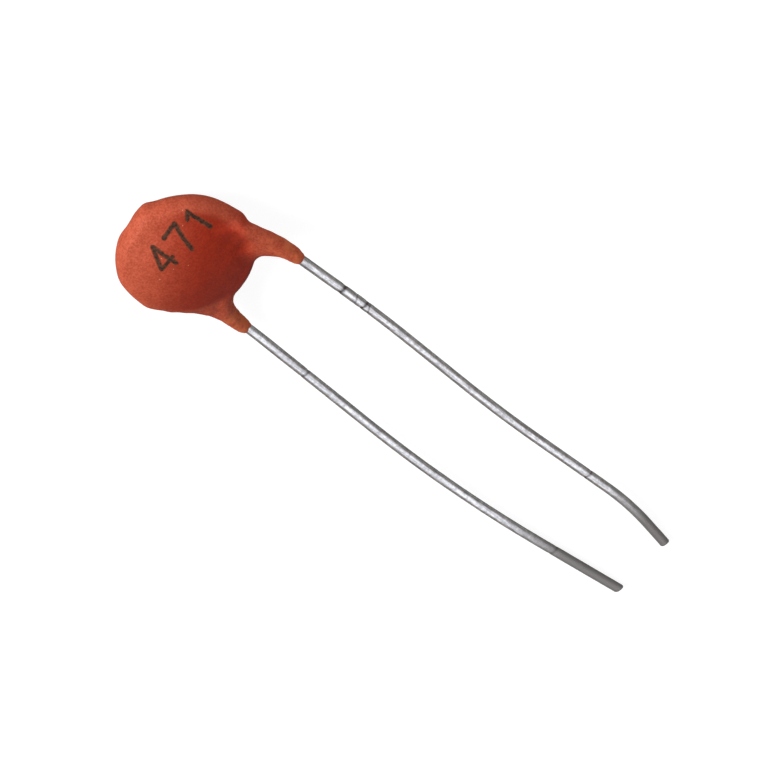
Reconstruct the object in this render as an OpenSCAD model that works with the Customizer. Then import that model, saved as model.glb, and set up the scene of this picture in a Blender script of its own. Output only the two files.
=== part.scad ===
// Ceramic disc capacitor: a dipped disc with two long wire leads, lying on its rear face.
// Millimetres. The marked face is up (+Z) and the leads run along -Y. The origin is the middle of
// the space that the part fills, on the surface that it lies on.

/* [Dipped coat] */
// Diameter of the body
body_d = 6.8; // [6.6:0.1:8]
// Thickness of the body at its middle
body_t = 2.75; // [2.6:0.05:3.2]
// Radius of the body's rounded rim
rim_r = 0.7; // [0.6:0.05:0.9]
// Coat on the front lead's leg
front_coat_t = 0.1; // [0.1:0.01:0.2]
// Coat on the rear lead's leg
rear_coat_t = 0.2; // [0.15:0.01:0.3]
// Coat left on a lead at the end of its leg
coat_end_t = 0.05; // [0.03:0.01:0.08]
// Depth of the front leg's end below the disc's centre
front_dip = 4; // [3.9:0.1:5]
// Depth of the rear leg's end below the disc's centre
rear_dip = 5.7; // [5:0.1:6.5]
// Length over which a leg thins to its end
leg_taper = 0.4; // [0.3:0.05:0.45]

/* [Webs between the legs and the body] */
// Radius of a web's rounded edge
web_edge_r = 0.4; // [0.3:0.05:0.45]
// Height of a web's middle towards its leg's side of the body
web_z = 0.1; // [0.05:0.05:0.15]
// Hollow radius on the front leg's inner side
front_web_r = 0.65; // [0.5:0.05:0.8]
// Distance from the front lead's axis to the hollow on its inner side
front_web_side = 0.75; // [0.7:0.05:0.8]
// Hollow radius on the rear leg's inner side
rear_web_r = 0.9; // [0.8:0.05:1]
// Distance from the rear lead's axis to the hollow on its inner side
rear_web_side = 0.65; // [0.6:0.05:0.7]
// Hollow radius on the rear leg's outer side
outer_web_r = 1.7; // [1.6:0.1:2]
// Distance from the rear lead's axis to the hollow on its outer side
outer_web_side = 0.45; // [0.4:0.05:0.5]

/* [Ceramic disc] */
// Diameter of the ceramic disc
ceramic_d = 5.6; // [5.3:0.1:5.8]
// Thickness of the ceramic disc
ceramic_t = 0.6; // [0.4:0.05:0.7]
// Thickness of the fired silver on each face
electrode_t = 0.03; // [0.02:0.01:0.05]
// Bare ceramic left around the silver
electrode_margin = 0.3; // [0.2:0.05:0.5]

/* [Solder] */
// Height and half width of the solder over a wire
solder_r = 0.58; // [0.56:0.01:0.62]
// Solder between a wire and the silver
solder_film = 0.02; // [0.01:0.01:0.04]
// Length of the soldered end of a wire
solder_l = 1.4; // [1:0.1:1.6]

/* [Leads] */
// Diameter of the tinned wire
wire_d = 0.5; // [0.45:0.01:0.52]
// Distance between the leads where they leave the body
lead_pitch = 5.1; // [4.8:0.05:5.3]
// Distance from the disc's centre to the middle of the pitch
lead_offset = 1.14; // [0.9:0.02:1.4]
// Depth below the disc's centre at which the front lead's hook starts
hook_y = 3.2; // [3:0.05:3.3]
// Depth below the disc's centre at which the leads turn down off the disc
turn_y = 3.5; // [3.4:0.05:3.6]
// Radius of the turn that takes a lead down off the disc
slope_r = 3; // [2:0.5:4]
// Radius of the front lead's hook under the coat
hook_r = 5; // [4.5:0.1:5.5]
// Turn of the front lead's hook
hook_turn = 45; // [42:1:50]
// Straight end of the front lead on the silver
front_end_l = 2; // [1.6:0.1:2.4]
// Height of the rear lead's end above the disc's centre
rear_end_y = 1.3; // [0.8:0.1:1.6]

/* [Bends of the front lead] */
// Straight run from the turn off the disc to the first bend
front_run_1 = 3.3; // [2:0.1:5]
// First bend, where a bend above zero goes to the right
front_bend_1 = -3; // [-6:0.5:-1]
// Radius of the first bend
front_bend_r_1 = 90; // [60:5:120]
// Straight run from the first bend to the second
front_run_2 = 4.3; // [2:0.1:6]
// Second bend
front_bend_2 = 3.5; // [1:0.5:6]
// Radius of the second bend
front_bend_r_2 = 90; // [60:5:120]
// Straight run from the second bend to the third
front_run_3 = 4.8; // [2:0.1:7]
// Third bend
front_bend_3 = -11.5; // [-20:0.5:-5]
// Radius of the third bend
front_bend_r_3 = 17; // [10:1:30]
// Straight tip
front_tip_l = 1.8; // [1.5:0.1:4]

/* [Bends of the rear lead] */
// Straight run from the turn off the disc to the first bend
rear_run_1 = 1.5; // [1:0.1:3]
// First bend, where a bend above zero goes to the right
rear_bend_1 = -2.2; // [-5:0.1:-1]
// Radius of the first bend
rear_bend_r_1 = 60; // [40:5:90]
// Straight run from the first bend to the second
rear_run_2 = 7.25; // [5:0.05:10]
// Second bend
rear_bend_2 = 8; // [4:0.5:12]
// Radius of the second bend
rear_bend_r_2 = 86; // [60:2:110]
// Straight tip
rear_tip_l = 5; // [2:0.1:8]

/* [Marking] */
// Height of a digit
digit_h = 1.5; // [1.3:0.05:1.7]
// Width of a digit
digit_w = 1; // [0.8:0.05:1.1]
// Distance from one digit to the next
digit_pitch = 1.3; // [1.25:0.05:1.5]
// Width of an ink stroke
stroke_w = 0.25; // [0.15:0.01:0.3]
// Thickness of the ink
ink_t = 0.02; // [0.01:0.01:0.03]
// Distance of the middle digit to the right of the disc's centre
marking_x = 0.95; // [0.8:0.05:1.1]
// Distance of the middle digit above the disc's centre
marking_y = 1.35; // [1.35:0.05:1.45]
// Turn of the digits, to the left
marking_turn = 8; // [0:1:10]

/* [Hidden] */

$fn = 64;
blend = 0.05;        // how far a joined form reaches into its neighbour
bend_swell = 0.002;  // how much a bend is thicker all round than the straight wire in it
web_bury = 0.03;     // how deep a web's hollow and its plate sit in what they run into
web_depth = 0.6;     // how far towards the disc's centre a web's plate starts, as a share
web_top = 1.45;      // depth below the disc's centre of the top of a web's plate
front_flank = 25;    // lean of the front web's flank
rear_flank = 15;     // lean of the rear inner web's flank

body_r = body_d / 2;
wire_r = wire_d / 2;
electrode_r = ceramic_d / 2 - electrode_margin;
electrode_z = ceramic_t / 2 + electrode_t;
wire_z = electrode_z + solder_film + wire_r;

// The body's face is a dome that runs into the circle of the rim without a corner
dome_r = (pow(body_r - rim_r, 2) + pow(body_t / 2, 2) - pow(rim_r, 2)) / (body_t - 2 * rim_r);
dome_z = body_t / 2 - dome_r;
dome_edge = (body_r - rim_r) * dome_r / (dome_r - rim_r);

front_x = lead_offset + lead_pitch / 2;
rear_x = lead_offset - lead_pitch / 2;
front_leg_r = wire_r + front_coat_t;
rear_leg_r = wire_r + rear_coat_t;

// Routes from the disc to the tip. A step is a straight length, then a turn and its radius.
// A positive turn goes to +X.
front_route = [[front_run_1, front_bend_1, front_bend_r_1],
               [front_run_2, front_bend_2, front_bend_r_2],
               [front_run_3, front_bend_3, front_bend_r_3],
               [front_tip_l, 0, 0]];
rear_route = [[rear_run_1, rear_bend_1, rear_bend_r_1],
              [rear_run_2, rear_bend_2, rear_bend_r_2],
              [rear_tip_l, 0, 0]];

// Where a route ends: how far across, and how far along its first direction
function side(turn) = turn < 0 ? -1 : 1;
function route_end(route, i = 0, heading = 0) = i == len(route) ? [0, 0]
    : let(length = route[i][0], next = heading + route[i][1],
          radius = side(route[i][1]) * route[i][2])
      [length * sin(heading) + radius * (cos(heading) - cos(next)),
       length * cos(heading) + radius * (sin(next) - sin(heading))]
      + route_end(route, i + 1, next);

// Slope that brings a tip down to the surface under the body, and the tip's depth below the
// turn that leads to the slope
function route_slope(route, start_z) =
    let(drop = start_z + body_t / 2 - wire_r, reach = route_end(route)[1])
    asin((drop - slope_r) / norm([reach, slope_r])) + atan(slope_r / reach);
function tip_depth(route, slope) = route_end(route)[1] * cos(slope) + slope_r * sin(slope);
front_slope = route_slope(front_route, wire_z);
rear_slope = route_slope(rear_route, -wire_z);

// Place of the disc's centre in the part's own frame
tip_y = -turn_y - max(tip_depth(front_route, front_slope), tip_depth(rear_route, rear_slope));
right_x = front_x + front_leg_r;
disc_place = [(body_r - right_x) / 2, -(body_r + tip_y) / 2, body_t / 2];

// ---- Wires ----

// A straight stretch from the origin along +Z, which reaches into the bend at either end
module wire_straight(length, d) {
    translate([0, 0, -blend])
        cylinder(h = length + 2 * blend, d = d);
}

// A bend from the origin along +Z, towards +X
module wire_bend(turn, radius, d) {
    translate([radius, 0, 0])
        rotate([90, 0, 180])
            rotate_extrude(angle = turn)
                translate([radius, 0])
                    circle(d = d + 2 * bend_swell);
}

// What follows a bend, past its end
module after_bend(turn, radius) {
    translate([side(turn) * radius * (1 - cos(turn)), 0, radius * sin(abs(turn))])
        rotate([0, turn, 0])
            children();
}

// The wire along a route, from the origin along +Z
module wire_run(route, i = 0) {
    length = route[i][0];
    turn = route[i][1];
    radius = route[i][2];
    if (i + 1 < len(route)) {
        wire_straight(length, wire_d);
        translate([0, 0, length]) {
            rotate([0, 0, turn < 0 ? 180 : 0])
                wire_bend(abs(turn), radius, wire_d);
            after_bend(turn, radius)
                wire_run(route, i + 1);
        }
    } else {
        wire_straight(length - blend, wire_d);
    }
}

// The place where a lead turns down off the disc, with +Z along the leads and +Y up
module at_front_turn() {
    translate([front_x, -turn_y, wire_z])
        rotate([90, 0, 0])
            children();
}
module at_rear_turn() {
    translate([rear_x, -turn_y, -wire_z])
        rotate([90, 0, 0])
            children();
}

// The turn down, and what follows it
module slope_bend(slope) {
    rotate([0, 0, -90])
        wire_bend(slope, slope_r, wire_d);
}
module past_slope(slope) {
    rotate([0, 0, -90])
        after_bend(slope, slope_r)
            rotate([0, 0, 90])
                children();
}

// The front lead's hook back over the disc, and what follows it
module front_hook(d) {
    translate([0, 0, hook_y - turn_y])
        rotate([0, 180, 0])
            wire_bend(hook_turn, hook_r, d);
}
module past_hook() {
    translate([0, 0, hook_y - turn_y])
        rotate([0, 180, 0])
            after_bend(hook_turn, hook_r)
                children();
}

module front_wire() {
    at_front_turn() {
        slope_bend(front_slope);
        past_slope(front_slope)
            wire_run(front_route);
        translate([0, 0, hook_y - turn_y])
            wire_straight(turn_y - hook_y, wire_d);
        front_hook(wire_d);
        past_hook()
            wire_straight(front_end_l - blend, wire_d);
    }
}

module rear_wire() {
    at_rear_turn() {
        slope_bend(rear_slope);
        past_slope(rear_slope)
            wire_run(rear_route);
        translate([0, 0, -turn_y - rear_end_y + blend])
            wire_straight(turn_y + rear_end_y - blend, wire_d);
    }
}

// ---- Disc ----

module electrode_film(z) {
    translate([0, 0, z])
        cylinder(h = electrode_t, r = electrode_r);
}

// A mound over the end of a wire, from the wire's end back along +Z
module solder_mound() {
    cylinder(h = solder_l, r = solder_r);
    sphere(r = solder_r);
    translate([0, 0, solder_l])
        sphere(r = solder_r);
}

module above_silver() {
    translate([-body_r, -body_r, electrode_z])
        cube([body_d, body_d, body_t]);
}

module front_mound() {
    intersection() {
        at_front_turn()
            past_hook()
                translate([0, electrode_z - wire_z, front_end_l])
                    rotate([180, 0, 0])
                        solder_mound();
        above_silver();
    }
}

module rear_mound() {
    intersection() {
        translate([rear_x, rear_end_y, -electrode_z])
            rotate([90, 0, 0])
                solder_mound();
        mirror([0, 0, 1])
            above_silver();
    }
}

// ---- Coat ----

// Half of the body's section: the lens of both domes up to the rim, and the rim's circle
module body_section() {
    intersection() {
        translate([0, dome_z])
            circle(r = dome_r);
        translate([0, -dome_z])
            circle(r = dome_r);
        translate([0, -body_t])
            square([dome_edge - blend, 2 * body_t]);
    }
    translate([body_r - rim_r, 0])
        circle(r = rim_r);
}

// A leg of the coat from the turn to its end. It is a round sleeve that thins at the end.
module leg(root_r, length) {
    end_r = wire_r + coat_end_t;
    rotate_extrude()
        polygon([[0, 0], [root_r, 0], [root_r, length - leg_taper], [end_r, length], [0, length]]);
}

// A round taper from point a to point b
module taper(a, b, a_r, b_r) {
    span = b - a;
    translate(a)
        rotate([0, acos(span.z / norm(span)), atan2(span.y, span.x)])
            cylinder(h = norm(span), r1 = a_r, r2 = b_r);
}

// A web in the corner between the body and the lead at lead_x, on the side that hand points to.
// Its edge is a round tube swept along a hollow, from the body to the flank that runs down to
// the leg's end. A plate fills the room behind the edge, up to its corner.
module web(lead_x, hand, side_x, radius, flank, corner, leg_end) {
    sweep_r = radius + web_edge_r;
    hollow_x = lead_x + hand * (side_x + radius * cos(flank));
    hollow = [hollow_x, -sqrt(pow(body_r + radius - web_bury, 2) - pow(hollow_x, 2))];
    body_angle = atan2(-hollow.y, -hollow.x);
    flank_angle = hand < 0 ? flank : 180 - flank;
    edge_end = hollow + sweep_r * [cos(flank_angle), sin(flank_angle)];
    translate(hollow) {
        rotate([0, 0, min(body_angle, flank_angle)])
            rotate_extrude(angle = abs(body_angle - flank_angle))
                translate([sweep_r, 0])
                    circle(r = web_edge_r);
    }
    translate([edge_end.x, edge_end.y, 0])
        sphere(r = web_edge_r + bend_swell);
    taper([edge_end.x, edge_end.y, 0], leg_end, web_edge_r, wire_r);
    linear_extrude(2 * (web_edge_r - web_bury), center = true)
        difference() {
            polygon([hollow, hollow * web_depth, corner, [lead_x, hollow.y]]);
            translate(hollow)
                circle(r = sweep_r - blend);
        }
}

module coat_outside() {
    rotate_extrude()
        body_section();
    at_front_turn() {
        past_slope(front_slope)
            leg(front_leg_r, front_dip - turn_y);
        sphere(r = front_leg_r + bend_swell);
        translate([0, 0, hook_y - turn_y])
            wire_straight(turn_y - hook_y - blend, 2 * front_leg_r);
        front_hook(2 * front_leg_r);
        past_hook()
            sphere(r = front_leg_r + 2 * bend_swell);
    }
    at_rear_turn() {
        past_slope(rear_slope)
            leg(rear_leg_r, rear_dip - turn_y);
        sphere(r = rear_leg_r + bend_swell);
        rotate([180, 0, 0])
            cylinder(h = turn_y / 2, r = rear_leg_r);
    }
    translate([0, 0, web_z])
        web(front_x, -1, front_web_side, front_web_r, front_flank,
            [front_x - wire_r, -web_top],
            [front_x, -front_dip + blend, wire_z - web_z]);
    translate([0, 0, -web_z]) {
        web(rear_x, 1, rear_web_side, rear_web_r, rear_flank,
            [rear_x, -web_top],
            [rear_x, -rear_dip + blend, web_z - wire_z]);
        web(rear_x, -1, outer_web_side, outer_web_r, 0,
            [rear_x, -web_top],
            [rear_x, -rear_dip + blend, web_z - wire_z]);
    }
}

// ---- Marking ----

// One ink stroke through two points of a digit's own box, from 0 to 1 each way
module stroke(a, b) {
    ends = [for (p = [a, b]) [(p.x - 0.5) * digit_w, (p.y - 0.5) * digit_h]];
    span = ends[1] - ends[0];
    translate(ends[0])
        rotate(atan2(span.y, span.x))
            translate([-stroke_w / 2, -stroke_w / 2])
                square([norm(span) + stroke_w, stroke_w]);
}

module digit_four() {
    stroke([0.7, 0], [0.7, 1]);
    stroke([0.7, 1], [0, 0.3]);
    stroke([0, 0.3], [1, 0.3]);
}
module digit_seven() {
    stroke([0, 1], [1, 1]);
    stroke([1, 1], [0.35, 0]);
}
module digit_one() {
    stroke([0.5, 0], [0.5, 1]);
    stroke([0.5, 1], [0.1, 0.8]);
}

module marking_outline() {
    translate([marking_x, marking_y])
        for (i = [-1, 0, 1])
            translate([i * digit_pitch, 0])
                rotate(marking_turn) {
                    if (i == -1) digit_four();
                    if (i == 0) digit_seven();
                    if (i == 1) digit_one();
                }
}

// ---- Pieces ----

module coating() {
    color("firebrick")
        translate(disc_place)
            difference() {
                coat_outside();
                cylinder(h = ceramic_t, d = ceramic_d, center = true);
                electrode_film(ceramic_t / 2);
                electrode_film(-electrode_z);
                front_mound();
                rear_mound();
                front_wire();
                rear_wire();
            }
}

module ceramic_disc() {
    color("tan")
        translate(disc_place)
            cylinder(h = ceramic_t, d = ceramic_d, center = true);
}

module front_electrode() {
    color("silver")
        translate(disc_place)
            electrode_film(ceramic_t / 2);
}

module rear_electrode() {
    color("silver")
        translate(disc_place)
            electrode_film(-electrode_z);
}

module front_solder() {
    color("lightgrey")
        translate(disc_place)
            difference() {
                front_mound();
                front_wire();
            }
}

module rear_solder() {
    color("lightgrey")
        translate(disc_place)
            difference() {
                rear_mound();
                rear_wire();
            }
}

module front_lead() {
    color("silver")
        translate(disc_place)
            front_wire();
}

module rear_lead() {
    color("silver")
        translate(disc_place)
            rear_wire();
}

module value_marking() {
    color("#3a2a22")
        translate(disc_place)
            intersection() {
                linear_extrude(body_t)
                    marking_outline();
                difference() {
                    translate([0, 0, dome_z])
                        sphere(r = dome_r + ink_t);
                    translate([0, 0, dome_z])
                        sphere(r = dome_r);
                }
            }
}

coating();
ceramic_disc();
front_electrode();
rear_electrode();
front_solder();
rear_solder();
front_lead();
rear_lead();
value_marking();
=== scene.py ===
# Ceramic disc capacitor: a red phenolic-dipped disc with two tinned wire leads, lying on a pale floor.
# The part's lengths are in millimetres about the disc's centre until a mesh is finished.
import math

import bmesh
import bpy
from mathutils import Matrix, Vector, noise
from mathutils.bvhtree import BVHTree


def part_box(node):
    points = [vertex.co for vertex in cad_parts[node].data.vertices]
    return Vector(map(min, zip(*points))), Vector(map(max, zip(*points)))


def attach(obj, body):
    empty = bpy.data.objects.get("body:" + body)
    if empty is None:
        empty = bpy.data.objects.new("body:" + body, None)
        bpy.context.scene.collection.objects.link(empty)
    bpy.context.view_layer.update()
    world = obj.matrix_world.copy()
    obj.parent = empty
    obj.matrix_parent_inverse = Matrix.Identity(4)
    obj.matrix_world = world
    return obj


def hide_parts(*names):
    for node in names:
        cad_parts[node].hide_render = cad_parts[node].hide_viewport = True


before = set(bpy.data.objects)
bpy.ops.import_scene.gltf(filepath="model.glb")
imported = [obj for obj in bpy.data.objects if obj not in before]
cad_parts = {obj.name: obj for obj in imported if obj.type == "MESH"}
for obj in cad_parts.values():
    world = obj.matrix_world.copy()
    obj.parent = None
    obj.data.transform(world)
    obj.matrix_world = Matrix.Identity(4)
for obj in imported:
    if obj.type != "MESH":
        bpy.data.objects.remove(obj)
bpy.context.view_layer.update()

MM = 0.001
WELD = 0.0005                               # points closer than this are one point
low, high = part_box("ceramic_disc")
DISC = (low + high) / 2                     # the disc's centre in the frame, in metres

# The body and the wires, as in the part's source
BODY_R, BODY_T, RIM_R = 3.4, 2.75, 0.7
WIRE_R = 0.25
FRONT_X, REAR_X = 3.69, -1.41
WIRE_Z = 0.6                                # a lead's axis above or below the disc's middle
TURN_Y, SLOPE_R = 3.5, 3.0                  # where a lead bends down to the floor, and how widely
HOOK_Y, HOOK_R, HOOK_TURN = 3.2, 5.0, 45    # where the front lead turns over the face, how widely, how far
FRONT_END, REAR_END_Y = 2.0, 1.3            # the front lead's straight end, and where the rear one's stops
# From the bend down to the tip: a straight length, the turn after it in degrees, and that turn's radius
FRONT_ROUTE = [(3.3, -3, 90), (4.3, 3.5, 90), (4.8, -11.5, 17), (1.8, 0, 0)]
REAR_ROUTE = [(1.5, -2.2, 60), (7.25, 8, 86), (5.0, 0, 0)]


# ---- Small helpers ----

def linear(code):
    """The linear colour of an sRGB hex value such as "B84A2C"."""
    parts = [int(code[i:i + 2], 16) / 255 for i in (0, 2, 4)]
    return [p / 12.92 if p <= 0.04045 else ((p + 0.055) / 1.055) ** 2.4 for p in parts] + [1.0]


def wobble(point, size, seed):
    """Smooth noise from about -1 to 1 with lumps of that size in millimetres."""
    return noise.noise(Vector(point) / size + Vector((seed, 2.3 * seed, -1.7 * seed)))


def uneven(point, layers):
    """Layers of noise laid over each other, each a height, a size and a seed."""
    return sum(height * wobble(point, size, seed) for height, size, seed in layers)


def smoothstep(a, b, x):
    """From 0 at a to 1 at b, level at both ends."""
    t = min(1.0, max(0.0, (x - a) / (b - a)))
    return t * t * (3 - 2 * t)


def piece(name, bm, slot, *nodes):
    """Finishes a mesh: into the frame, smooth, riding on the part and standing for its CAD nodes."""
    bmesh.ops.remove_doubles(bm, verts=bm.verts, dist=WELD)
    bmesh.ops.recalc_face_normals(bm, faces=bm.faces)
    bmesh.ops.transform(bm, matrix=Matrix.Translation(DISC) @ Matrix.Scale(MM, 4), verts=bm.verts)
    mesh = bpy.data.meshes.new(name)
    bm.to_mesh(mesh)
    bm.free()
    mesh.shade_smooth()
    obj = bpy.data.objects.new(name, mesh)
    bpy.context.scene.collection.objects.link(obj)
    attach(obj, "root")
    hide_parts(*nodes)
    return obj


# ---- Routes of the wires ----
# A pose is a matrix whose +Z runs along the wire, +X to the part's right and +Y up.

SEGMENTS = 32                               # round a wire
PITCH = 0.05                                # step along a wire


def walk(pose, steps):
    """Poses along a route. A step is a straight length, then a turn, its radius and its axis."""
    poses = [pose.copy()]
    for length, turn, radius, axis in steps:
        count = max(1, round(length / PITCH))
        for _ in range(count):
            pose = pose @ Matrix.Translation((0, 0, length / count))
            poses.append(pose.copy())
        arc = math.radians(abs(turn)) * radius
        if arc > 0:
            count = max(1, math.ceil(arc / PITCH))
            part = math.radians(turn) / count
            for _ in range(count):
                half = Matrix.Rotation(part / 2, 4, axis)
                pose = pose @ half @ Matrix.Translation((0, 0, arc / count)) @ half
                poses.append(pose.copy())
    return poses


def slope_angle(route, start_z):
    """How many degrees a lead leans down so that its tip touches the floor."""
    reach, heading = 0.0, 0.0
    for length, turn, radius in route:
        turned = heading + math.radians(turn)
        side = -1 if turn < 0 else 1
        reach += length * math.cos(heading) + side * radius * (math.sin(turned) - math.sin(heading))
        heading = turned
    drop = start_z + BODY_T / 2 - WIRE_R
    lean = math.asin((drop - SLOPE_R) / math.hypot(reach, SLOPE_R)) + math.atan(SLOPE_R / reach)
    return math.degrees(lean)


def lead_poses(x, z, back_steps, route):
    """Poses of a whole lead, from its end on the disc to its tip."""
    start = Matrix.Translation((x, -TURN_Y, z)) @ Matrix.Rotation(math.pi / 2, 4, "X")
    about = Matrix.Rotation(math.pi, 4, "Y")
    inner = [p @ about for p in reversed(walk(start @ about, back_steps))]
    down = (0.0, slope_angle(route, z), SLOPE_R, "X")
    outer = walk(start, [down] + [(length, turn, radius, "Y") for length, turn, radius in route])
    return inner + outer[1:]


def sweep(bm, poses, radii):
    """Adds a closed round bar through the poses, with a radius at each: a grid rolled up round them."""
    last = len(poses) - 1
    pose_of = bm.verts.layers.int.new("pose")
    bmesh.ops.create_grid(bm, x_segments=SEGMENTS, y_segments=last, size=0.5)
    for v in bm.verts:
        i = round((v.co.y + 0.5) * last)
        angle = 2 * math.pi * v.co.x
        v.co = poses[i] @ (radii[i] * Vector((math.cos(angle), math.sin(angle), 0)))
        v[pose_of] = i
    bmesh.ops.remove_doubles(bm, verts=bm.verts, dist=WELD)
    bmesh.ops.edgeloop_fill(bm, edges=[e for e in bm.edges if e.is_boundary])
    bmesh.ops.recalc_face_normals(bm, faces=bm.faces)
    return pose_of


# ---- Coat ----
# Its forms are made FILLET thicker than they are, joined into one skin and shrunk back, which leaves
# a fillet of that radius in each corner between them, as a dip does.

FILLET = 0.55
VOXEL = 0.05                                # size of the joined skin's faces
DOME_STEPS, RIM_STEPS, SPIN_STEPS = 24, 12, 128


def hull(bm, balls):
    """Adds the convex form around balls, each a centre and a radius."""
    form = bmesh.new()
    for centre, radius in balls:
        bmesh.ops.create_icosphere(form, subdivisions=3, radius=radius + FILLET,
                                   matrix=Matrix.Translation(centre))
    done = bmesh.ops.convex_hull(form, input=list(form.verts))
    spare = {g for g in done["geom_interior"] + done["geom_unused"] if isinstance(g, bmesh.types.BMVert)}
    bmesh.ops.delete(form, geom=list(spare), context="VERTS")
    mesh = bpy.data.meshes.new("form")
    form.to_mesh(mesh)
    form.free()
    bm.from_mesh(mesh)
    bpy.data.meshes.remove(mesh)


def add_body(bm):
    """Adds the disc's coat: two domes that run into a round rim."""
    ring_r = BODY_R - RIM_R
    half = BODY_T / 2
    dome_r = (ring_r ** 2 + half ** 2 - RIM_R ** 2) / (2 * (half - RIM_R))
    lean = math.asin(ring_r / (dome_r - RIM_R))
    profile = []
    for i in range(DOME_STEPS + 1):
        a = lean * i / DOME_STEPS
        profile.append(((dome_r + FILLET) * math.sin(a), half - dome_r + (dome_r + FILLET) * math.cos(a)))
    for i in range(1, RIM_STEPS + 1):
        a = lean + (math.pi / 2 - lean) * i / RIM_STEPS
        profile.append((ring_r + (RIM_R + FILLET) * math.sin(a), (RIM_R + FILLET) * math.cos(a)))
    profile += [(r, -z) for r, z in reversed(profile[:-1])]
    verts = [bm.verts.new((r, 0, z)) for r, z in profile]
    edges = [bm.edges.new(pair) for pair in zip(verts, verts[1:])]
    bmesh.ops.spin(bm, geom=verts + edges, cent=(0, 0, 0), axis=(0, 0, 1), dvec=(0, 0, 0),
                   angle=2 * math.pi, steps=SPIN_STEPS, use_merge=True, use_duplicate=False)
    bmesh.ops.remove_doubles(bm, verts=bm.verts, dist=WELD)


def chain(bm, balls):
    """Adds a form that runs from each ball to the next."""
    for pair in zip(balls, balls[1:]):
        hull(bm, pair)


def joined(bm):
    """The forms of a mesh as one even skin."""
    rough = bpy.data.meshes.new("forms")
    bm.to_mesh(rough)
    bm.free()
    former = bpy.data.objects.new("former", rough)
    bpy.context.scene.collection.objects.link(former)
    joiner = former.modifiers.new("join", "REMESH")
    joiner.mode = "VOXEL"
    joiner.voxel_size = VOXEL
    joiner.adaptivity = 0.0
    bpy.context.view_layer.update()
    skin = bpy.data.meshes.new_from_object(former.evaluated_get(bpy.context.evaluated_depsgraph_get()))
    bm = bmesh.new()
    bm.from_mesh(skin)
    bpy.data.objects.remove(former)
    bpy.data.meshes.remove(rough)
    bpy.data.meshes.remove(skin)
    return bm


def smooth(bm, rounds):
    """Takes the voxels' steps out of a skin."""
    for _ in range(rounds):
        bmesh.ops.smooth_vert(bm, verts=bm.verts, factor=0.5,
                              use_axis_x=True, use_axis_y=True, use_axis_z=True)
    bm.normal_update()


def push(bm, step_of):
    """Moves each point along its normal by what step_of gives for its place."""
    for v, step in [(v, v.normal * step_of(v.co)) for v in bm.verts]:
        v.co += step


coat = bmesh.new()
add_body(coat)
# Front leg: a full form over the hooked wire, from its ridge on the face down to its thin end
chain(coat, [((1.5, 1.07, 0.56), 0.36), ((2.22, 0.34, 0.6), 0.37), ((2.85, -0.42, 0.6), 0.38),
             ((3.3, -1.3, 0.6), 0.39), ((3.53, -2.1, 0.58), 0.41), ((3.6, -2.9, 0.53), 0.45),
             ((3.63, -3.4, 0.53), 0.42), ((3.65, -3.8, 0.55), 0.39), ((3.66, -3.98, 0.55), 0.35),
             ((3.67, -4.12, 0.55), 0.29)])
# Web between the front leg and the disc
chain(coat, [((1.9, -1.5, 0.2), 0.62), ((2.7, -2.0, 0.28), 0.54), ((3.15, -2.6, 0.36), 0.48),
             ((3.53, -3.3, 0.46), 0.38)])
# Rear leg, and the webs on either side of it
chain(coat, [((-1.1, -2.0, 0.0), 0.72), ((-1.22, -2.9, -0.13), 0.6), ((-1.3, -3.5, -0.3), 0.51),
             ((-1.37, -4.2, -0.45), 0.45), ((-1.46, -5.0, -0.6), 0.43), ((-1.47, -5.48, -0.66), 0.39),
             ((-1.46, -5.6, -0.67), 0.35), ((-1.44, -5.74, -0.68), 0.29)])
chain(coat, [((0.8, -2.35, 0.0), 0.66), ((-0.3, -2.85, 0.0), 0.6), ((-0.9, -3.5, -0.12), 0.5),
             ((-1.2, -4.2, -0.34), 0.42), ((-1.38, -4.9, -0.55), 0.39)])
chain(coat, [((-2.1, -1.85, -0.05), 0.62), ((-1.76, -2.45, -0.1), 0.56), ((-1.5, -3.5, -0.26), 0.41),
             ((-1.46, -4.4, -0.46), 0.36)])
bmesh.ops.recalc_face_normals(coat, faces=coat.faces)
coat = joined(coat)
smooth(coat, 6)
push(coat, lambda p: -FILLET)
coat = joined(coat)
smooth(coat, 10)


# Lumps and flats of the rim: where round the disc from +X, how wide in degrees, and how high
RIM_LUMPS = [(79, 6, 0.13), (88, 6, 0.05), (104, 9, -0.09), (130, 12, -0.03), (157, 10, 0.04), (190, 8, 0.06),
             (205, 6, -0.06), (218, 6, -0.06), (49, 14, -0.05), (350, 9, 0.12)]
RUN_DOWN = Vector((0.55, -0.84, 0))         # the way the face leans as the dip ran
FACE_LEAN = 0.15                            # by how much, from one side to the other
# Layers of unevenness, on all of the skin and on the legs
SKIN_WAVES = [(0.03, 1.5, 1.0), (0.014, 0.6, 2.0)]
LEG_KNOTS = [(0.02, 0.32, 3.0), (0.013, 0.14, 4.0)]


def off_angle(p, angle):
    """How many degrees round the disc a point lies from an angle, from -180 to 180."""
    return (math.degrees(math.atan2(p.y, p.x)) - angle + 180) % 360 - 180


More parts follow.
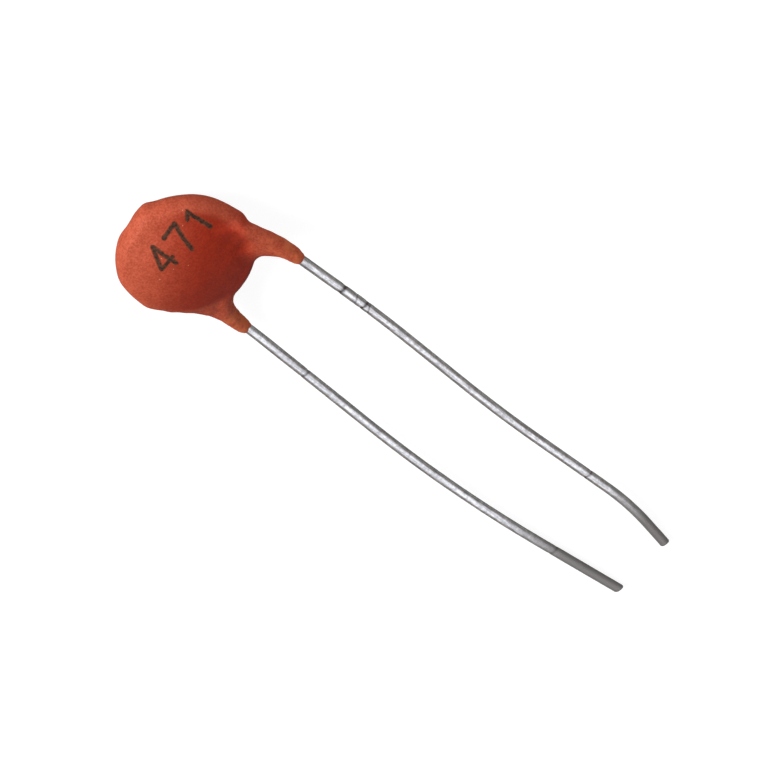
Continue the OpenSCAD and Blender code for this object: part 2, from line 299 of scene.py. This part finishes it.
def lumps(p):
    """How far the dipped surface stands out at a point, in millimetres."""
    out = uneven(p, SKIN_WAVES)
    r = math.hypot(p.x, p.y)
    round_disc = math.degrees(math.atan2(p.y, p.x)) % 360
    at_rim = smoothstep(2.85, 3.35, r)
    for angle, width, rise in RIM_LUMPS:
        out += rise * at_rim * math.exp(-(off_angle(p, angle) / width) ** 2)
    if p.z > 0:
        # The marked face: it leans a little, with a bead round its upper rim and a hollow inside that
        on_face = 1 - smoothstep(2.9, 3.4, r)
        out -= FACE_LEAN * on_face * (smoothstep(-1.7, 2.3, p.dot(RUN_DOWN)) - 0.5)
        upper = smoothstep(5, 40, round_disc) * (1 - smoothstep(120, 150, round_disc))
        bead = 0.03 * math.exp(-((r - 2.95) / 0.22) ** 2)
        hollow = 0.035 * math.exp(-((r - 2.35) / 0.3) ** 2)
        out += upper * (bead - hollow)
    return out + smoothstep(-2.6, -3.4, p.y) * uneven(p, LEG_KNOTS)


SHEEN_RIM = 130                               # the middle of the rim's painted sheen, in degrees round the disc from +X
FRONT_LEG = Vector((0.75, -0.5, 0.6))       # the way the front leg leaves the face


def thinness_and_painted_light(p):
    """How thin the coat is, with painted light in it: 0 on the disc, up to 0.3 on its rim as a painted sheen,
    and near 1 at a leg's end; the rear leg, in the disc's shade, goes higher than the front as painted light.
    """
    away_from_leads = 1 - smoothstep(120, 155, abs(off_angle(p, SHEEN_RIM)))
    # Painted sheen: the rim is made paler all round, except near the leads
    rim = 0.3 * smoothstep(2.6, 3.15, math.hypot(p.x, p.y)) * away_from_leads
    # The rear leg reaches 1 where the front reaches 0.85: painted light on the leg that lies in the disc's
    # shade, over its thinner coat
    leg = 0.85 * smoothstep(2.4, 5.4, p.dot(FRONT_LEG)) if p.x > 1 else smoothstep(-2.6, -5.0, p.y)
    return max(rim, leg)


push(coat, lumps)
thin_coat_and_painted_light = coat.verts.layers.float.new("thin_coat_and_painted_light")
for v in coat.verts:
    v[thin_coat_and_painted_light] = thinness_and_painted_light(v.co)
coat_tree = BVHTree.FromBMesh(coat)
coat_piece = piece("dipped_coat", coat, "phenolic_coat", "coating")


# ---- Marking ----
# A generic value code, stamped in ink. Points are in a digit's own box, from 0 to 1 each way.

DIGITS = {
    "4": [[(0.72, 0), (0.72, 1), (0, 0.3), (1, 0.3)]],
    "7": [[(0, 1), (1, 1), (0.7, 0.55), (0.42, 0)]],
    "1": [[(0.12, 0.8), (0.5, 1), (0.5, 0)]],
}
DIGIT_H, DIGIT_W, DIGIT_PITCH = 1.5, 1.0, 1.3
STROKE_W, INK_T = 0.25, 0.02
STROKE_END, END_ROUNDNESS = 0.02, 0.9       # a stroke's half width at its very end, and how round that is
MARK = Vector((0.95, 1.35))                 # the middle of the code
MARK_TURN = math.radians(8)
INK_PITCH = 0.04                            # step along a stroke
ACROSS = (-1, -0.6, 0, 0.6, 1)              # shares of a stroke's half width
# Layers of unevenness in a stroke's width and along its edges
STROKE_WAVES = [(0.16, 0.3, 6.0)]
RAGGED_EDGE = [(0.03, 0.1, 5.0)]


def ink_rows(points):
    """Points across an inked line at each step along it, narrower at its round ends."""
    path = []
    for a, b in zip(points, points[1:]):
        count = max(2, round((b - a).length / INK_PITCH))
        path += [a.lerp(b, i / count) for i in range(count)]
    path.append(points[-1])
    last = len(path) - 1
    rows = []
    for i, p in enumerate(path):
        along = (path[min(last, i + 2)] - path[max(0, i - 2)]).normalized()
        across = Vector((-along.y, along.x))
        half = STROKE_W / 2 * (1 + uneven((p.x, p.y, 0), STROKE_WAVES))
        reach = min(i, last - i) * INK_PITCH
        if reach < half:
            half = STROKE_END + END_ROUNDNESS * math.sqrt(max(0.0, half ** 2 - (half - reach) ** 2))
        rows.append([p + across * half * share for share in ACROSS])
    return rows


marking = bmesh.new()
faded = marking.verts.layers.float.new("faded")
for index, digit in enumerate("471"):
    centre = MARK + Vector(((index - 1) * DIGIT_PITCH, 0))
    for line in DIGITS[digit]:
        spots = []
        for x, y in line:
            q = Vector(((x - 0.5) * DIGIT_W, (y - 0.5) * DIGIT_H))
            q.rotate(Matrix.Rotation(MARK_TURN, 2))
            spots.append(centre + q)
        rows = ink_rows(spots)
        wide, long = len(ACROSS) - 1, len(rows) - 1
        stroke = bmesh.ops.create_grid(marking, x_segments=wide, y_segments=long, size=0.5)
        for v in stroke["verts"]:
            k = round((v.co.x + 0.5) * wide)
            q = rows[round((v.co.y + 0.5) * long)][k]
            ragged = uneven((q.x, q.y, index), RAGGED_EDGE)
            above = Vector((q.x + ragged, q.y + ragged, BODY_T))
            top, normal, _, _ = coat_tree.ray_cast(above, Vector((0, 0, -1)))
            v.co = top + normal * INK_T * (0.7 - 0.5 * abs(ACROSS[k]))
            v[faded] = abs(ACROSS[k])
marking_piece = piece("value_code", marking, "marking_ink", "value_marking")


# ---- Leads ----

# A nick is how far it lies below the disc's centre, its slant, its half width and how strong it is
FRONT_NICKS = [(6.97, 0.2, 0.13, 1.0), (7.95, -0.4, 0.05, 0.6), (8.5, 0.3, 0.1, 1.0),
               (8.85, -0.5, 0.06, 0.7), (24.9, 0.3, 0.07, 0.8)]
REAR_NICKS = [(9.85, 0.3, 0.08, 0.8), (27.2, 0.3, 0.07, 0.7)]
NICK_DEPTH = 0.02
CUT_LEAN = 0.4                              # how steeply a snip slants across the wire
CUT_FADE = 0.6                              # how far from the tip the snip moves the wire's points


def add_lead(name, node, poses, nicks, cut_back, cut_side, dull_length, seed):
    """A tinned wire through the poses, nicked, a little uneven and dull at its tip, which is snipped at a
    slant: cut_back is how far the cut takes its middle back, and cut_side is where it takes most."""
    bm = bmesh.new()
    last = len(poses) - 1
    onward = (poses[-1].translation - poses[-2].translation).normalized()
    tip = poses[-1].translation
    radii = [WIRE_R * (1 + 0.02 * wobble(p.translation, 2.0, seed)) for p in poses]
    # The snip leaves a slightly rounded end
    radii[-1] *= 0.86
    radii[-2] *= 0.97
    dull = bm.verts.layers.float.new("dull")
    nicked = bm.verts.layers.float.new("nicked")
    pose_of = sweep(bm, poses, radii)
    bm.normal_update()
    for v in bm.verts:
        p, middle = v.co.copy(), poses[v[pose_of]].translation
        off_tip = (p - tip).length + 0.8 * wobble(p, 1.2, seed)
        v[dull] = smoothstep(dull_length, dull_length * 0.25, off_tip)
        out = uneven(p, [(0.004, 0.5, seed), (0.003, 0.17, seed + 1)])
        for below, slant, width, share in nicks:
            cut = share * math.exp(-((p.y + below + slant * (p.x - middle.x)) / width) ** 2)
            v[nicked] = max(v[nicked], cut)
            out -= NICK_DEPTH * cut
        at_tip = smoothstep(CUT_FADE, 0.0, (last - v[pose_of]) * PITCH)
        snipped = (cut_back + CUT_LEAN * (p - middle).dot(cut_side)) * at_tip
        v.co += v.normal * out - onward * snipped
    return piece(name, bm, "tinned_wire", node)


front_poses = lead_poses(FRONT_X, WIRE_Z, [(TURN_Y - HOOK_Y, HOOK_TURN, HOOK_R, "Y"), (FRONT_END, 0, 0, "Y")],
                         FRONT_ROUTE)
front_lead = add_lead("front_wire", "front_lead", front_poses, FRONT_NICKS, cut_back=0.1,
                      cut_side=Vector((0, 0, 1)), dull_length=6.6, seed=3.0)
rear_poses = lead_poses(REAR_X, -WIRE_Z, [(TURN_Y + REAR_END_Y, 0, 0, "Y")], REAR_ROUTE)
rear_lead = add_lead("rear_wire", "rear_lead", rear_poses, REAR_NICKS, cut_back=-0.03,
                     cut_side=Vector((-0.8, 0, 0.6)), dull_length=9.3, seed=4.0)


# ---- Materials ----
# A Mix node's inputs are its share, i0, and its two ends: i6 and i7 for colours, i2 and i3 for numbers.

COLOURS, NUMBERS = {"data_type": "RGBA"}, {"data_type": "FLOAT"}
EASED = {"interpolation_type": "SMOOTHSTEP"}


def new_material(name):
    """Adds a material, and gives it with its node tree and its shader."""
    mat = bpy.data.materials.new(name)
    mat.use_nodes = True
    return mat, mat.node_tree, mat.node_tree.nodes["Principled BSDF"]


def add_node(tree, kind, settings=None, **inputs):
    """Adds a node. An input goes by its name, or by i and its number, and is a value or another's output."""
    made = tree.nodes.new(kind)
    for key, value in (settings or {}).items():
        setattr(made, key, value)
    for key, value in inputs.items():
        numbered = key[0] == "i" and key[1:].isdigit()
        socket = made.inputs[int(key[1:]) if numbered else key.replace("_", " ")]
        if isinstance(value, bpy.types.NodeSocket):
            tree.links.new(value, socket)
        else:
            socket.default_value = value
    return made


def dress(obj, mat):
    """Gives an object one material all over."""
    obj.data.materials.clear()
    obj.data.materials.append(mat)


# Dipped phenolic resin, air-dried and baked: matte, with the grain of its mineral filler. Painted light
# and shade: paler and chalkier on the side the key lamp lights, deeper red on the side away from it
GRAIN, MOTTLE, FILLER = 0.11, 0.45, 0.42    # sizes of the grain and the mottle, and the filler's spacing
PAINTED_SHADE_END, PAINTED_LIGHT_END = DISC + Vector((0.5, -0.9, 0)) * MM, DISC + Vector((-2.1, 2.3, 0)) * MM
phenolic, tree, shader = new_material("dipped_phenolic_resin")
place = add_node(tree, "ShaderNodeTexCoord").outputs["Object"]
grain = add_node(tree, "ShaderNodeTexNoise", Vector=place, Scale=1 / (GRAIN * MM), Detail=3.0, Roughness=0.6)
mottle = add_node(tree, "ShaderNodeTexNoise", Vector=place, Scale=1 / (MOTTLE * MM), Detail=3.0)
mixed = add_node(tree, "ShaderNodeMix", NUMBERS, i0=0.25, i2=grain.outputs["Fac"],
                 i3=mottle.outputs["Fac"])
grit = add_node(tree, "ShaderNodeMapRange", Value=mixed.outputs[0], From_Min=0.38, From_Max=0.62)
span = PAINTED_LIGHT_END - PAINTED_SHADE_END
from_start = add_node(tree, "ShaderNodeVectorMath", {"operation": "SUBTRACT"}, i0=place, i1=PAINTED_SHADE_END)
along = add_node(tree, "ShaderNodeVectorMath", {"operation": "DOT_PRODUCT"}, i0=from_start.outputs[0],
                 i1=span / span.length_squared)
# Painted light and shade: the colour runs from deeper red on the shaded side to chalkier on the lit side
painted_light_share = add_node(tree, "ShaderNodeMapRange", EASED, Value=along.outputs["Value"])
shaded_deep_red = add_node(tree, "ShaderNodeMix", COLOURS, i0=grit.outputs[0],
                i6=linear("8E2615"), i7=linear("A4311A"))
lit_and_chalky = add_node(tree, "ShaderNodeMix", COLOURS, i0=grit.outputs[0],
                  i6=linear("AC4A32"), i7=linear("C96045"))
blend = add_node(tree, "ShaderNodeMix", COLOURS, i0=painted_light_share.outputs[0], i6=shaded_deep_red.outputs[2],
                 i7=lit_and_chalky.outputs[2])
# Chalkier down the legs, and orange-brown in patches where the coat thins out; paler round the rim as a
# painted sheen, and paler on the rear leg partly as painted light over its shade
thin_coat_and_painted_light = add_node(tree, "ShaderNodeAttribute", {"attribute_name": "thin_coat_and_painted_light"})
paler_share = add_node(tree, "ShaderNodeMapRange", EASED, Value=thin_coat_and_painted_light.outputs["Fac"],
                 From_Min=0.0, From_Max=0.4, To_Max=0.85)
blend = add_node(tree, "ShaderNodeMix", COLOURS, i0=paler_share.outputs[0], i6=blend.outputs[2],
                 i7=lit_and_chalky.outputs[2])
ragged = add_node(tree, "ShaderNodeMath", {"operation": "MULTIPLY_ADD"}, i0=mottle.outputs["Fac"], i1=1.6,
                  i2=thin_coat_and_painted_light.outputs["Fac"])
worn = add_node(tree, "ShaderNodeMapRange", EASED, Value=ragged.outputs[0],
                From_Min=1.3, From_Max=1.95, To_Max=0.9)
blend = add_node(tree, "ShaderNodeMix", COLOURS, i0=worn.outputs[0], i6=blend.outputs[2],
                 i7=linear("CC6A42"))
# Bare grains of filler, in only some of the pattern's cells
specks = add_node(tree, "ShaderNodeTexVoronoi", Vector=place, Scale=1 / (FILLER * MM), Randomness=1.0)
dot = add_node(tree, "ShaderNodeMapRange", Value=specks.outputs["Distance"], From_Min=0.09, From_Max=0.05)
keep = add_node(tree, "ShaderNodeMapRange", Value=specks.outputs["Color"], From_Min=0.72, From_Max=0.74,
                To_Max=0.7)
speck = add_node(tree, "ShaderNodeMath", {"operation": "MULTIPLY"}, i0=dot.outputs[0], i1=keep.outputs[0])
blend = add_node(tree, "ShaderNodeMix", COLOURS, i0=speck.outputs[0], i6=blend.outputs[2],
                 i7=linear("E0A284"))
tree.links.new(blend.outputs[2], shader.inputs["Base Color"])
shader.inputs["Roughness"].default_value = 0.6
shader.inputs["Specular IOR Level"].default_value = 0.12
bump = add_node(tree, "ShaderNodeBump", Strength=0.5, Distance=0.012 * MM, Height=grain.outputs["Fac"])
tree.links.new(bump.outputs["Normal"], shader.inputs["Normal"])
dress(coat_piece, phenolic)

# Stamped marking ink: near black and mottled, with brown edges where it soaked into the coat
INK_SPOT = 0.13                             # size of its mottle
ink, tree, shader = new_material("stamped_marking_ink")
place = add_node(tree, "ShaderNodeTexCoord").outputs["Object"]
spots = add_node(tree, "ShaderNodeTexNoise", Vector=place, Scale=1 / (INK_SPOT * MM), Detail=3.0,
                 Roughness=0.6)
faded = add_node(tree, "ShaderNodeAttribute", {"attribute_name": "faded"})
soaked = add_node(tree, "ShaderNodeMath", {"operation": "MULTIPLY_ADD"}, i0=spots.outputs["Fac"], i1=0.9,
                  i2=faded.outputs["Fac"])
edge = add_node(tree, "ShaderNodeMapRange", EASED, Value=soaked.outputs[0],
                From_Min=0.85, From_Max=1.65)
tone = add_node(tree, "ShaderNodeMapRange", Value=spots.outputs["Fac"], From_Min=0.35, From_Max=0.65)
blend = add_node(tree, "ShaderNodeMix", COLOURS, i0=tone.outputs[0], i6=linear("2C1C16"),
                 i7=linear("563A2C"))
blend = add_node(tree, "ShaderNodeMix", COLOURS, i0=edge.outputs[0], i6=blend.outputs[2],
                 i7=linear("96432C"))
tree.links.new(blend.outputs[2], shader.inputs["Base Color"])
shader.inputs["Roughness"].default_value = 0.7
shader.inputs["Specular IOR Level"].default_value = 0.1
dress(marking_piece, ink)

# Hot-dipped tin on copper-clad steel wire: bright, with fine lines drawn along it and dull patches
LINE_WIDTH, LINE_SCALE, PATCH = 0.09, 0.06, 0.22       # how wide a line is, its scale along Y, a patch's size
tin, tree, shader = new_material("hot_dipped_tin")
place = add_node(tree, "ShaderNodeTexCoord").outputs["Object"]
drawn = add_node(tree, "ShaderNodeMapping", {"vector_type": "POINT"}, Vector=place,
                 Scale=(1.0, LINE_SCALE, 1.0))
lines = add_node(tree, "ShaderNodeTexNoise", Vector=drawn.outputs[0], Scale=1 / (LINE_WIDTH * MM), Detail=3.0)
patches = add_node(tree, "ShaderNodeTexNoise", Vector=place, Scale=1 / (PATCH * MM), Detail=4.0,
                   Roughness=0.65)
shade = add_node(tree, "ShaderNodeMath", {"operation": "MULTIPLY"}, i0=lines.outputs["Fac"],
                 i1=patches.outputs["Fac"])
tone = add_node(tree, "ShaderNodeMapRange", Value=shade.outputs[0], From_Min=0.14, From_Max=0.36)
blend = add_node(tree, "ShaderNodeMix", COLOURS, i0=tone.outputs[0], i6=linear("9C9B9A"),
                 i7=linear("DADAD9"))
# Darker, duller tips, and painted shade in the nicks
dull = add_node(tree, "ShaderNodeAttribute", {"attribute_name": "dull"})
blend = add_node(tree, "ShaderNodeMix", COLOURS, i0=dull.outputs["Fac"], i6=blend.outputs[2],
                 i7=linear("7B7775"))
nicked = add_node(tree, "ShaderNodeAttribute", {"attribute_name": "nicked"})
# Painted shade: the nicks' grooves are painted dark grey
nick_shade = add_node(tree, "ShaderNodeMath", {"operation": "MULTIPLY"}, i0=nicked.outputs["Fac"], i1=0.95)
blend = add_node(tree, "ShaderNodeMix", COLOURS, i0=nick_shade.outputs[0], i6=blend.outputs[2],
                 i7=linear("4A4543"))
tree.links.new(blend.outputs[2], shader.inputs["Base Color"])
# Towards the tips the wire is given a darker colour and a less metallic, rougher finish
tip_metallic = add_node(tree, "ShaderNodeMapRange", Value=dull.outputs["Fac"], To_Min=1.0, To_Max=0.45)
tree.links.new(tip_metallic.outputs[0], shader.inputs["Metallic"])
rough = add_node(tree, "ShaderNodeMapRange", Value=patches.outputs["Fac"], From_Min=0.3, From_Max=0.7,
                 To_Min=0.3, To_Max=0.14)
rough = add_node(tree, "ShaderNodeMix", NUMBERS, i0=dull.outputs["Fac"], i2=rough.outputs[0], i3=0.55)
tree.links.new(rough.outputs[0], shader.inputs["Roughness"])
relief = add_node(tree, "ShaderNodeMath", {"operation": "MULTIPLY_ADD"}, i0=patches.outputs["Fac"], i1=0.8,
                  i2=lines.outputs["Fac"])
bump = add_node(tree, "ShaderNodeBump", Strength=0.8, Distance=0.012 * MM, Height=relief.outputs[0])
tree.links.new(bump.outputs["Normal"], shader.inputs["Normal"])
for obj in (front_lead, rear_lead):
    dress(obj, tin)

# The pieces inside: sintered barium titanate, pale and faintly speckled, as a fired body is;
# fired silver with the soft mottle of its screen print; and solder with a wavy, half-bright skin.
# Each has its darker and lighter colour, its mottle's size, metallic, roughness, relief and nodes.
INSIDE = [
    ("sintered_titanate_ceramic", ("C2AE90", "D2C2A6"), 0.25, 0.0, 0.75, 0.1, ("ceramic_disc",)),
    ("fired_silver", ("BDB9B0", "DAD7CF"), 0.12, 1.0, 0.45, 0.15, ("front_electrode", "rear_electrode")),
    ("soft_solder", ("A0A09F", "C4C4C3"), 0.4, 1.0, 0.32, 0.5, ("front_solder", "rear_solder")),
]
for name, codes, size, metallic, roughness, relief, nodes in INSIDE:
    mat, tree, shader = new_material(name)
    place = add_node(tree, "ShaderNodeTexCoord").outputs["Object"]
    mottle = add_node(tree, "ShaderNodeTexNoise", Vector=place, Scale=1 / (size * MM), Detail=4.0,
                      Roughness=0.6)
    tone = add_node(tree, "ShaderNodeMapRange", Value=mottle.outputs["Fac"], From_Min=0.35, From_Max=0.65)
    blend = add_node(tree, "ShaderNodeMix", COLOURS, i0=tone.outputs[0], i6=linear(codes[0]),
                     i7=linear(codes[1]))
    tree.links.new(blend.outputs[2], shader.inputs["Base Color"])
    shader.inputs["Metallic"].default_value = metallic
    shader.inputs["Roughness"].default_value = roughness
    bump = add_node(tree, "ShaderNodeBump", Strength=relief, Distance=0.02 * MM, Height=mottle.outputs["Fac"])
    tree.links.new(bump.outputs["Normal"], shader.inputs["Normal"])
    for node in nodes:
        dress(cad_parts[node], mat)


# ---- Stage ----

bpy.context.scene.view_settings.view_transform = "Standard"


def ray_kinds(tree):
    """Whether a ray is the camera's, and whether it is one that metal or glass mirrors or lets through."""
    path = add_node(tree, "ShaderNodeLightPath")
    mirrored = add_node(tree, "ShaderNodeMath", {"operation": "MAXIMUM"}, i0=path.outputs["Is Glossy Ray"],
                        i1=path.outputs["Is Transmission Ray"])
    return path.outputs["Is Camera Ray"], mirrored.outputs[0]


FLOOR_HALF = 3.0                            # from the floor's middle to its sides, in metres
floor_mesh = bpy.data.meshes.new("floor")
bm = bmesh.new()
bmesh.ops.create_grid(bm, x_segments=1, y_segments=1, size=FLOOR_HALF)
bm.to_mesh(floor_mesh)
bm.free()
floor = bpy.data.objects.new("floor", floor_mesh)
bpy.context.scene.collection.objects.link(floor)
# A pale card that glows white to the camera, and keeps the object's shadow as a faint grey
paper, tree, shader = new_material("white_paper_sweep")
shader.inputs["Base Color"].default_value = linear("898989")
shader.inputs["Roughness"].default_value = 0.9
shader.inputs["Specular IOR Level"].default_value = 0.0
shader.inputs["Emission Color"].default_value = linear("FFFFFF")
seen, mirrored = ray_kinds(tree)
soft_glow = add_node(tree, "ShaderNodeMath", {"operation": "MULTIPLY"}, i0=mirrored, i1=0.15)
glow = add_node(tree, "ShaderNodeMath", {"operation": "MULTIPLY_ADD"}, i0=seen, i1=0.91,
                i2=soft_glow.outputs[0])
tree.links.new(glow.outputs[0], shader.inputs["Emission Strength"])
floor.data.materials.append(paper)

# The room: white to the camera, even and dim on the object, and for what the metal mirrors
# a cool white scrim overhead that falls off to a warm grey towards the horizon
SCRIM_AXIS = (0.12, 0.0, 0.993)             # towards its brightest part
world = bpy.data.worlds.new("studio")
bpy.context.scene.world = world
world.use_nodes = True
tree = world.node_tree
back = tree.nodes["Background"]
seen, mirrored = ray_kinds(tree)
toward = add_node(tree, "ShaderNodeTexCoord").outputs["Generated"]
height = add_node(tree, "ShaderNodeVectorMath", {"operation": "DOT_PRODUCT"}, i0=toward, i1=SCRIM_AXIS)
overhead = add_node(tree, "ShaderNodeMapRange", EASED, Value=height.outputs["Value"],
                    From_Min=0.28, From_Max=0.82)
scrim = add_node(tree, "ShaderNodeMapRange", Value=overhead.outputs[0], To_Min=0.6, To_Max=1.75)
tint = add_node(tree, "ShaderNodeMix", COLOURS, i0=overhead.outputs[0], i6=linear("D2C6C0"),
                i7=linear("F2F5FF"))
colour = add_node(tree, "ShaderNodeMix", COLOURS, i0=mirrored, i6=linear("FFFFFF"), i7=tint.outputs[2])
tree.links.new(colour.outputs[2], back.inputs["Color"])
lit = add_node(tree, "ShaderNodeMix", NUMBERS, i0=mirrored, i2=0.12, i3=scrim.outputs[0])
level = add_node(tree, "ShaderNodeMix", NUMBERS, i0=seen, i2=lit.outputs[0], i3=1.0)
tree.links.new(level.outputs[0], back.inputs["Strength"])


LAMP_DISTANCE = 0.4                         # from the disc, in metres


def softbox(name, toward, size, level):
    """Adds a square area lamp that looks at the disc. Level is the share of plain white light it gives."""
    lamp = bpy.data.lights.new(name, "AREA")
    lamp.shape = "SQUARE"
    lamp.size = size
    lamp.energy = level * 4 * math.pi * LAMP_DISTANCE ** 2
    obj = bpy.data.objects.new(name, lamp)
    toward = Vector(toward).normalized()
    obj.location = DISC + toward * LAMP_DISTANCE
    obj.rotation_euler = toward.to_track_quat("Z", "Y").to_euler()
    bpy.context.scene.collection.objects.link(obj)


softbox("key_softbox", (-0.476, 0.727, 0.5), 0.25, 1.0)
softbox("low_fill", (0.86, 0.42, 0.16), 0.3, 0.55)
softbox("leg_fill", (-0.2, -0.95, 0.3), 0.3, 0.15)


# ---- Camera ----

CAMERA_DISTANCE = 460.0
FRAME_WIDTH = 37.31                         # what the frame spans at the disc's distance
AZIMUTH, ELEVATION, ROLL = (math.radians(a) for a in (144.28, 53, 169))
lens = bpy.data.cameras.new("camera")
lens.sensor_width = 36
lens.lens = lens.sensor_width * CAMERA_DISTANCE / FRAME_WIDTH
lens.clip_start, lens.clip_end = 0.01, 10
camera = bpy.data.objects.new("camera", lens)
aim = Vector((9.76, -6.44, CAMERA_DISTANCE))   # right of the disc's centre, below it, and back from it
look = (Matrix.Rotation(AZIMUTH, 4, "Z") @ Matrix.Rotation(math.pi / 2 - ELEVATION, 4, "X")
        @ Matrix.Rotation(ROLL, 4, "Z"))
camera.matrix_world = Matrix.Translation(DISC + look @ aim * MM) @ look
bpy.context.scene.collection.objects.link(camera)
bpy.context.scene.camera = camera

bpy.context.view_layer.update()
